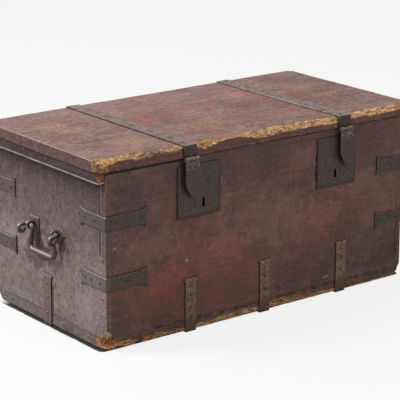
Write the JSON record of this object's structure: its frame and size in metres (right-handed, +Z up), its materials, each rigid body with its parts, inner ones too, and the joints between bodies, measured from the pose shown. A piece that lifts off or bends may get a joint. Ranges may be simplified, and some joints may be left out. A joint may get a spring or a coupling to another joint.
{
  "type": "ship chest",
  "caption": "Joined plank sea chest with a hinged overhanging lid, iron corner and bottom straps, hasp locks and drop handles.",
  "frame": {"origin": "middle of the chest footprint on the floor, on the underside of the middle bottom strap", "axes": "+X along the length, the front with its locks faces -Y, +Z up"},
  "size_m": [0.9472, 0.4733, 0.4325],
  "materials": {
    "case_wood": "worn dark red-brown stain",
    "end_wood": "dusty grey-brown stain",
    "lid_wood": "dusty red-brown stain, worn edges",
    "bottom_wood": "worn dark stain with bare edges",
    "iron": "dull forged iron",
    "strap_iron": "rusted forged iron"
  },
  "bodies": {
    "case": {"front_board_lower": "case_wood", "back_board_lower": "case_wood", "front_board_middle": "case_wood", "back_board_middle": "case_wood", "front_board_upper": "case_wood", "back_board_upper": "case_wood", "left_end_board": "end_wood", "right_end_board": "end_wood", "bottom_board_front": "bottom_wood", "bottom_board_back": "bottom_wood", "corner_strap_front_left_lower": "iron", "corner_strap_front_left_upper": "iron", "corner_strap_front_right_lower": "iron", "corner_strap_front_right_upper": "iron", "corner_strap_back_left_lower": "iron", "corner_strap_back_left_upper": "iron", "corner_strap_back_right_lower": "iron", "corner_strap_back_right_upper": "iron", "bottom_strap_left": "strap_iron", "bottom_strap_middle": "strap_iron", "bottom_strap_right": "strap_iron", "end_strap_left": "strap_iron", "end_strap_right": "strap_iron", "back_hinge_leaf_left": "iron", "back_hinge_leaf_right": "iron", "back_hinge_pin_left": "iron", "back_hinge_pin_right": "iron", "lock_plate_left": "iron", "lock_plate_right": "iron", "lock_case_left": "iron", "lock_case_right": "iron", "handle_eye_left_front": "iron", "handle_rose_left_front": "iron", "handle_eye_left_back": "iron", "handle_rose_left_back": "iron", "handle_eye_right_front": "iron", "handle_rose_right_front": "iron", "handle_eye_right_back": "iron", "handle_rose_right_back": "iron"},
    "lid": {"lid_board_front": "lid_wood", "lid_board_middle": "lid_wood", "lid_board_back": "lid_wood", "lid_batten_left": "lid_wood", "lid_batten_right": "lid_wood", "lid_strap_left": "iron", "lid_strap_right": "iron", "hasp_pin_left": "iron", "hasp_pin_right": "iron"},
    "hasp_left": {"hasp_left": "iron"},
    "handle_left": {"handle_bail_left": "iron"},
    "lock_bolt_left": {"lock_bolt_left": "iron"},
    "hasp_right": {"hasp_right": "iron"},
    "handle_right": {"handle_bail_right": "iron"},
    "lock_bolt_right": {"lock_bolt_right": "iron"}
  },
  "joints": [
    {"name": "lid_hinge", "type": "hinge", "parent": "case", "child": "lid", "pos_m": [0, 0.2284, 0.3986], "axis": [-1, 0, 0], "range_deg": [0, 185]},
    {"name": "hasp_left_hinge", "type": "hinge", "parent": "lid", "child": "hasp_left", "pos_m": [-0.21396, -0.2349, 0.401], "axis": [-1, 0, 0], "range_deg": [-6.5, 160]},
    {"name": "hasp_right_hinge", "type": "hinge", "parent": "lid", "child": "hasp_right", "pos_m": [0.23523, -0.2349, 0.401], "axis": [-1, 0, 0], "range_deg": [-6.5, 160]},
    {"name": "handle_left_swing", "type": "hinge", "parent": "case", "child": "handle_left", "pos_m": [-0.447, 0.00446, 0.22512], "axis": [0, 1, 0], "range_deg": [-6, 105]},
    {"name": "handle_right_swing", "type": "hinge", "parent": "case", "child": "handle_right", "pos_m": [0.447, 0.00446, 0.22512], "axis": [0, -1, 0], "range_deg": [-6, 105]},
    {"name": "lock_bolt_left_slide", "type": "slide", "parent": "case", "child": "lock_bolt_left", "axis": [-1, 0, 0], "range_m": [0, 0.012]},
    {"name": "lock_bolt_right_slide", "type": "slide", "parent": "case", "child": "lock_bolt_right", "axis": [1, 0, 0], "range_m": [0, 0.012]}
  ]
}
